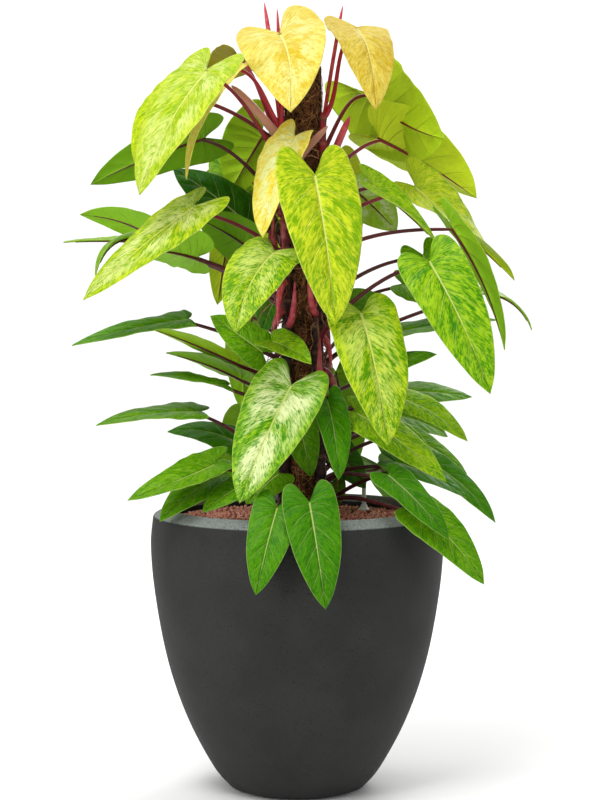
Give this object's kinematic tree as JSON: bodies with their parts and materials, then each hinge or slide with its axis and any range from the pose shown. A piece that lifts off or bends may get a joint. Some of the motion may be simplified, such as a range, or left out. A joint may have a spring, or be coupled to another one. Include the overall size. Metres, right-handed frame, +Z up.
{
  "type": "potted painted lady philodendron",
  "caption": "Painted lady philodendron with mottled lime and green leaves on a coir pole, in a tapering round charcoal planter of clay granules with a water gauge.",
  "frame": {"origin": "the centre of the planter's flat foot, on the floor", "axes": "+Z up along the planter's axis, -Y the front that the picture shows, +X to the right of it"},
  "size_m": [0.6691, 0.5082, 1.1017],
  "materials": {
    "concrete": "matte",
    "clay": "matte",
    "black_plastic": "satin",
    "roots": "matte",
    "coir": "matte",
    "grey_plastic": "satin",
    "clear_plastic": "gloss",
    "red_plastic": "satin",
    "foliage": "satin"
  },
  "bodies": {
    "root": {"planter": "concrete", "clay_granules": "clay", "grow_pot": "black_plastic", "root_ball": "roots", "coir_sleeve": "coir", "pole_stake": "grey_plastic", "gauge_tube": "clear_plastic", "gauge_rod": "red_plastic", "gauge_collar": "clear_plastic", "leafy_stem_front_left": "foliage", "leafy_stem_front_right": "foliage", "leafy_stem_back_right": "foliage", "leafy_stem_back_left": "foliage"}
  },
  "joints": []
}
